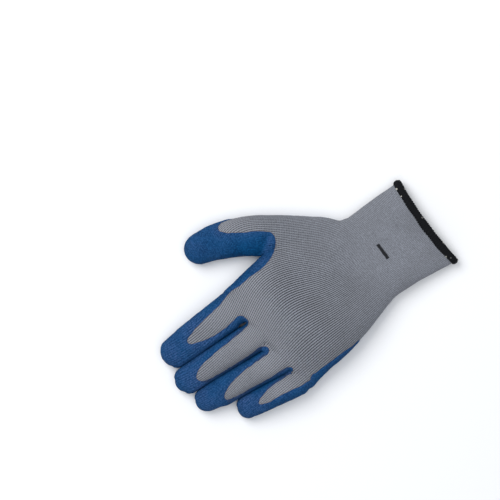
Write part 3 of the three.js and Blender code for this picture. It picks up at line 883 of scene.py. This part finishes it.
# One plain bar of ink lies on the cuff's back, where the size is printed
past = np.abs(skin[:, :2] - INK_PLACE) - INK_HALF
ink = 1 - smooth_step(past.max(axis=1), -0.6, 0.6)
ink[(normals[:, 2] < 0.3) | (np.arange(len(skin)) >= len(outside[0]))] = 0
liner = make_piece(
    "knitted_liner",
    skin,
    np.concatenate([past_hem(outside[0], outside[1]), lining]),
    counts,
    dict(coating_depth=depth, opened=opened, pale=pale, ink=ink),
)
join_rims(liner)
liner.data.materials.append(knit_material())
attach(liner, "root")
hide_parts("knit_cuff", "knit_palm", "knit_thumb", *[f"knit_{name}_finger" for name in FINGERS])

# The latex, which rises out of the knit at its edge


def pressed_sides(places, normals):
    """How far each point moves to the thumb's side where two fingers touch: the film between them
    fills the gap but for CONTACT, and their sides are flat there."""
    moved = np.zeros(len(places))
    y = places[:, 1]
    for left, right, start in TOUCHING:
        edges = [finger_side(left, 1).T, finger_side(right, -1).T]
        low, high = [np.interp(y, edge[1], edge[0]) for edge in edges]
        off = places[:, 0] - (low + high) / 2
        spare = (high - low) / 2 - LATEX_RISE - CONTACT / 2
        near = smooth_step(y, start, start + 3) * (1 - smooth_step(spare, 1.6, 2.8))
        near *= smooth_step(-np.sign(off) * normals[:, 0], 0.2, 0.9) * (np.abs(off) < 5)
        reach = np.maximum(np.abs(off) - CONTACT / 2, 0)
        moved -= np.sign(off) * np.minimum(np.clip(spare + PRESSED_FLAT, 0, 2) * near, reach)
    return moved


# From which share of a finger on the film grows dustier, and the line of a band along the web
# that is painted paler, as painted light
DUSTY_FROM = {"index": 0.15, "middle": 0.55, "ring": 0.5, "little": 0.4}
LIT_WEB_BAND = [(66, 112), (62.4, 117), (57.5, 124), (54.5, 131), (53.5, 140)]


def dust_and_light_share(places, normals, depth):
    """How pale the film is: dustier at its edges and towards the ends of the stalls, and paler along
    the web's band as painted light; all of it shows only as far as the surface faces up, which is
    painted light too.
    """
    tips = np.zeros(len(places))
    for name in FINGERS:
        web, _, heading = finger_line(name)
        along = (places[:, :2] - web) @ heading / FINGERS[name]["length"]
        aside = np.abs((places[:, :2] - web) @ np.array([heading[1], -heading[0]]))
        near = aside < FINGERS[name]["width"] * 0.6
        start = DUSTY_FROM[name]
        tips = np.maximum(tips, np.where(near, smooth_step(along, start, start + 0.4), 0))
    thumb_tip = hand_place(THUMB_SECTIONS["across"][-1], THUMB_SECTIONS["along"][-1])
    from_tip = np.hypot(*(places[:, :2] - thumb_tip).T)
    tips = np.maximum(tips, 0.8 * (1 - smooth_step(from_tip, 0, 34)))
    # painted light: a paler band along the flat strip by the web
    web = np.exp(-((line_distance(places, np.array(LIT_WEB_BAND, float)) / 3.6) ** 2))
    edge = np.maximum(np.exp(-np.maximum(depth, 0) / 4.5), 1.3 * web)
    # painted light: the film is paler the more it faces up
    upward = smooth_step(normals[:, 2], -0.1, 0.9)
    patches = 1 + 0.6 * unevenness(places, 13, 31)
    return np.clip((0.42 * edge + 0.4 * tips) * upward * patches, 0, 1)


skin, faces, normals, depth, counts = glove_skin(LATEX_FACE)
full = LATEX_RISE * (1 - np.exp(-np.maximum(depth, 0) / EDGE_ROUND))
rise = np.where(depth < 0, np.maximum(0.45 * depth, -0.6), full)
crinkle = smooth_step(depth, 0.5, 4.0) * uneven(skin, CRINKLE)
outer = skin + (rise + crinkle)[:, None] * normals
outer[:, 0] += pressed_sides(outer, normals)
outer[:, 2] = np.maximum(outer[:, 2], 0.02)
inner = skin + np.minimum(-0.35, rise - 0.3)[:, None] * normals
latex = make_piece(
    "crinkled_latex_coating",
    *walled(outer, inner, faces[depth[faces].max(axis=1) > -0.9]),
    counts,
    dict(coating_depth=depth, dusty=dust_and_light_share(skin, normals, depth)),
)
latex.data.materials.append(latex_material())
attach(latex, "root")
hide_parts("latex_coating")

# The overlocked hem: thread wound over the cuff's edge

THREAD_PITCH = 2.0
HEM_STEPS = 1300
HEM_SIDES = 30
HEM_LEG = 0.36  # share of the band's profile on each side of the cuff's edge
HEM_TURN = 0.28  # share of it that turns over the edge


def hem_place(angle, y, out):
    """A point on the cuff's form near the hem, moved outwards by out."""
    middle, half, back, under = cuff_columns(np.maximum(y, 0))
    across, upward = oblong(angle)
    centre = under + (back - under) * WIDEST
    reach = np.where(upward >= 0, back - centre, centre - under)
    x = middle + (half + out) * across
    z = soft_floor(centre + (reach + out) * upward, FILM - out)
    return np.stack([x, y + bow(x, np.maximum(y, 0)), z], axis=-1)


def even_angles(count):
    """Angles round the cuff's mouth that lie evenly along its outline."""
    angle = np.linspace(0, 2 * math.pi, 4001)
    outline = hem_place(angle, np.zeros(4001), 0.0)
    length = np.concatenate([[0], np.cumsum(np.linalg.norm(np.diff(outline, axis=0), axis=1))])
    return np.interp(np.linspace(0, length[-1], count, endpoint=False), length, angle), length[-1]


def make_hem():
    """A crowned band carried round the cuff's mouth, over its edge to the inside and back under
    itself, with a round thread of the overlock across it every THREAD_PITCH millimetres. The
    threads' ends scallop its two edges."""
    angle, length = even_angles(HEM_STEPS)
    way = np.linspace(0, 1, HEM_SIDES // 2)
    bend = np.clip((way - HEM_LEG) / HEM_TURN, 0, 1) * math.pi
    flat = np.minimum(way, 1 - way) / HEM_LEG
    crown = np.sqrt(np.clip(1 - (2 * np.clip(flat, 0, 1) - 1) ** 2, 0, 1))
    outside = HEM_GAP + 0.25
    inside = -KNIT_WALL - HEM_GAP - 0.25
    across = (outside + inside) / 2 + (outside - inside) / 2 * np.cos(bend)
    across += np.cos(bend) * (HEM_THREAD * 0.9 * crown)
    over = np.where(flat < 1, HEM_WIDTH * (1 - flat), -1.3 * np.sin(bend))
    under_y = np.maximum(over[::-1], 0.3)
    under_out = np.clip(across[::-1] - np.cos(bend[::-1]) * HEM_THREAD, -KNIT_WALL - 0.1, 0.1)
    bend = np.concatenate([bend, bend[::-1]])
    way = np.concatenate([way, way[::-1]])
    top = np.concatenate([np.ones(len(over)), np.zeros(len(over))])
    threads = round(length / THREAD_PITCH)
    turns = np.arange(HEM_STEPS)[:, None] / HEM_STEPS * threads
    turns = turns + 0.3 * np.sin(turns * 0.37) + 0.25 * np.sin(turns * 0.83 + 1.0)
    phase = turns + 1.6 * way
    thread = np.sqrt(np.clip(1 - (2 * np.mod(phase, 1) - 1) ** 2, 0, 1)) - 0.5
    pull = 0.5 * np.sin(turns * 0.61 + 0.5) + 0.5 * np.sin(turns * 0.23 + 2.0)
    fringe = np.abs(2 * way - 1) ** 4
    narrow = 1 - 0.3 * np.abs(np.cos(angle))[:, None] ** 8
    y = np.concatenate([over, under_y])
    y = np.where(y > 0, y * narrow, y) + fringe * (1.7 * thread + 0.45 * pull)
    y -= top * np.sin(bend) * (0.6 * thread + 0.25 * pull)
    out = np.concatenate([across, under_out]) + top * np.cos(bend) * (0.7 * thread + 0.12 * pull)
    grid = hem_place(np.repeat(angle[:, None], len(way), axis=1), y, out)
    grid[..., 2] = np.maximum(grid[..., 2], 0.02)
    index = np.arange(grid.shape[0] * grid.shape[1]).reshape(grid.shape[:2])
    right = np.roll(index, -1, axis=0)
    faces = np.stack([index, np.roll(index, -1, 1), np.roll(right, -1, 1), right], -1).reshape(-1, 4)
    return make_piece("overlocked_hem", grid.reshape(-1, 3), faces)


hem = make_hem()
hem.data.materials.append(thread_material())
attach(hem, "root")
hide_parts("cuff_hem")

# The stage: floor, lights and camera

FLOOR = 3.0  # half the floor's width, in metres
floor_mesh = bpy.data.meshes.new("floor")
corners = [(-FLOOR, -FLOOR, 0), (FLOOR, -FLOOR, 0), (FLOOR, FLOOR, 0), (-FLOOR, FLOOR, 0)]
floor_mesh.from_pydata(corners, [], [(0, 1, 2, 3)])
floor = bpy.data.objects.new("floor", floor_mesh)
bpy.context.scene.collection.objects.link(floor)
floor.data.materials.append(floor_material())

CAMERA_OVER = (41.5, 8.8)  # the point of the frame in the middle of the picture, in millimetres
CAMERA_HEIGHT = 1500
CAMERA_LEVEL = 12  # height at which the picture is PICTURE_WIDTH wide
PICTURE_WIDTH = 410
HAND_SLOPE = 36.46  # slope of the hand's axis in the picture, in degrees
CAMERA_TURN = HAND_SLOPE - 163


def add_light(name, place, size, power, colour):
    """A square soft light that faces the glove."""
    lamp = bpy.data.lights.new(name, "AREA")
    lamp.size = size
    lamp.energy = power
    lamp.color = colour
    light = bpy.data.objects.new(name, lamp)
    light.location = place
    x, y, z = place
    light.rotation_euler = (math.atan2(math.hypot(x, y), z), 0, math.atan2(x, -y))
    bpy.context.scene.collection.objects.link(light)
    return light


add_light("window", (1.1, 0.2, 1.5), 1.2, 23, (1.0, 0.995, 0.985))
add_light("overhead", (-0.3, 0.1, 2.2), 2.2, 22, (0.98, 0.99, 1.0))
world = bpy.data.worlds.new("studio")
world.use_nodes = True
world.node_tree.nodes["Background"].inputs[0].default_value = linear("#eef2f8")
world.node_tree.nodes["Background"].inputs[1].default_value = 0.42
bpy.context.scene.world = world
bpy.context.scene.view_settings.view_transform = "Standard"

lens = bpy.data.cameras.new("camera")
lens.sensor_width = 36
lens.lens = lens.sensor_width * (CAMERA_HEIGHT - CAMERA_LEVEL) / PICTURE_WIDTH
camera = bpy.data.objects.new("camera", lens)
camera.location = (CAMERA_OVER[0] * MM, CAMERA_OVER[1] * MM, CAMERA_HEIGHT * MM)
camera.rotation_euler = (0, 0, math.radians(CAMERA_TURN))
bpy.context.scene.collection.objects.link(camera)
bpy.context.scene.camera = camera
